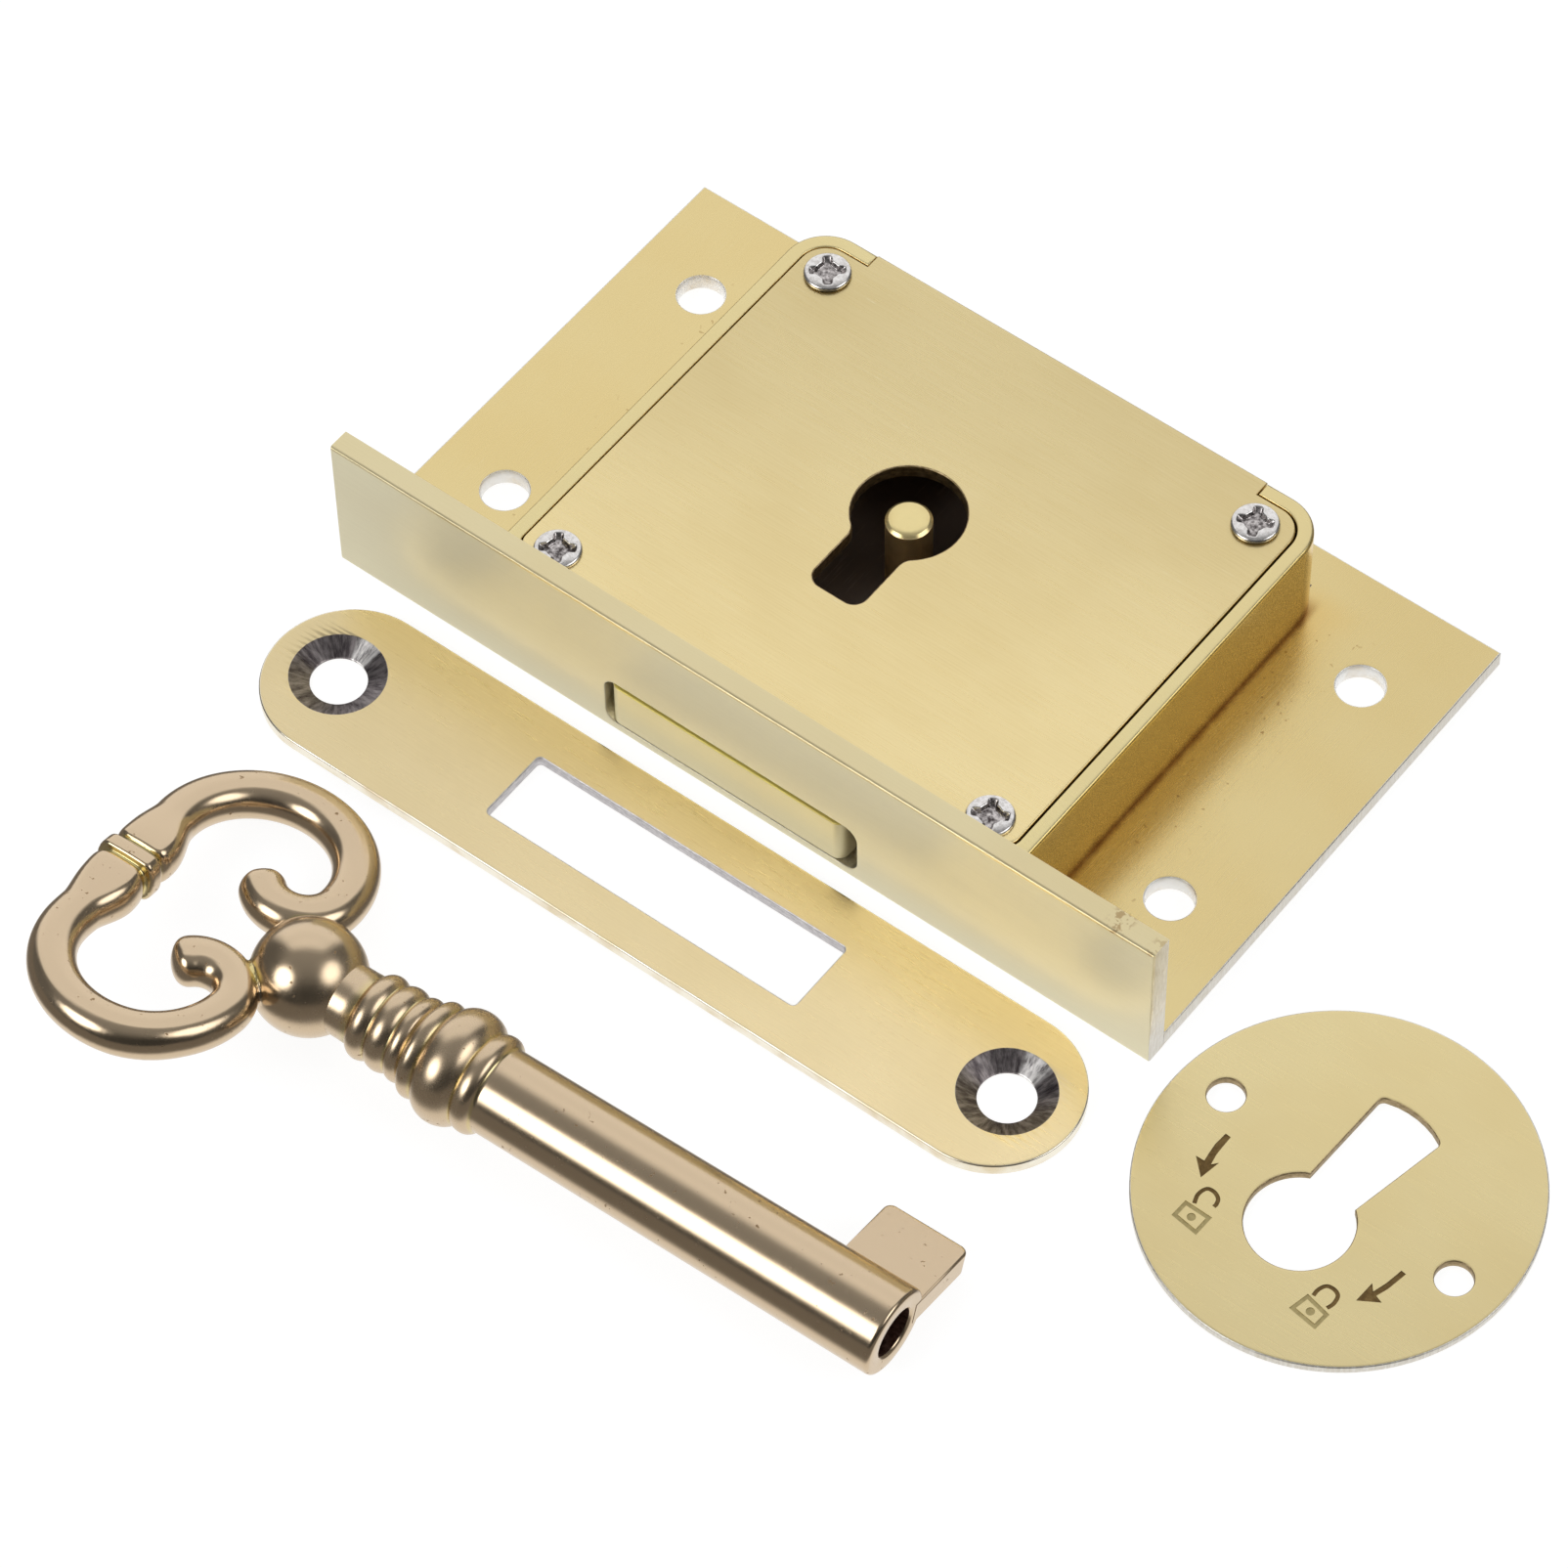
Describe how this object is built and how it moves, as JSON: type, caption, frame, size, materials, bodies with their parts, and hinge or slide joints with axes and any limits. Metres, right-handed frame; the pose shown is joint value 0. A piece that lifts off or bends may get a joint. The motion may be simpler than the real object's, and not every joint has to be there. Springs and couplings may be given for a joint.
{
  "type": "drawer lock",
  "caption": "Surface-fixed drawer lock with a sliding dead bolt, a lever and a drill pin, with its pipe key, bolt strike plate and round key escutcheon.",
  "frame": {"origin": "centre of the four fixing holes, on the back face of the back plate", "axes": "+Z out of the back face towards the cover, +X along the selvedge, and the bolt leaves towards -Y"},
  "size_m": [0.1424, 0.124, 0.018],
  "materials": {
    "satin_brass": "satin brushed brass, pale, with fine scratches",
    "bare_brass": "machined brass, slightly yellower than the outside",
    "polished_gold": "polished cast brass with a rose gold tone",
    "nickel_screw": "bright nickel plate",
    "spring_steel": "blued spring steel"
  },
  "bodies": {
    "lock_case": {"back_plate": "satin_brass", "case_frame": "satin_brass", "cover_plate": "satin_brass", "drill_pin": "bare_brass", "bolt_guide_post_left": "bare_brass", "bolt_guide_post_right": "bare_brass", "lever_pivot": "bare_brass", "cover_screw_front_left": "nickel_screw", "cover_screw_front_right": "nickel_screw", "cover_screw_rear_left": "nickel_screw", "cover_screw_rear_right": "nickel_screw", "frame_rivet_front_left": "bare_brass", "frame_rivet_front_right": "bare_brass", "frame_rivet_rear_left": "bare_brass", "frame_rivet_rear_right": "bare_brass"},
    "bolt_body": {"bolt": "bare_brass", "bolt_stump": "bare_brass"},
    "lever_body": {"lever": "bare_brass", "lever_spring": "spring_steel"},
    "key_body": {"key": "polished_gold"},
    "strike_body": {"strike_plate": "satin_brass"},
    "escutcheon_body": {"escutcheon": "satin_brass"}
  },
  "joints": [
    {"name": "bolt_throw", "type": "slide", "parent": "lock_case", "child": "bolt_body", "axis": [0, -1, 0], "range_m": [0, 0.0075]},
    {"name": "lever_lift", "type": "hinge", "parent": "lock_case", "child": "lever_body", "pos_m": [0.02, -0.015, 0.0062], "axis": [0, 0, -1], "range_deg": [0, 9.5], "stiffness_Nm_per_rad": 0.03, "springref_deg": -8.59, "deforming": ["lever_spring"]},
    {"name": "key_lift", "type": "slide", "parent": "lock_case", "child": "key_body", "axis": [0, 0, 1], "range_m": [0, 0.03]},
    {"name": "strike_plate_lift", "type": "slide", "parent": "lock_case", "child": "strike_body", "axis": [0, 0, 1], "range_m": [0, 0.03]},
    {"name": "escutcheon_lift", "type": "slide", "parent": "lock_case", "child": "escutcheon_body", "axis": [0, 0, 1], "range_m": [0, 0.03]}
  ]
}
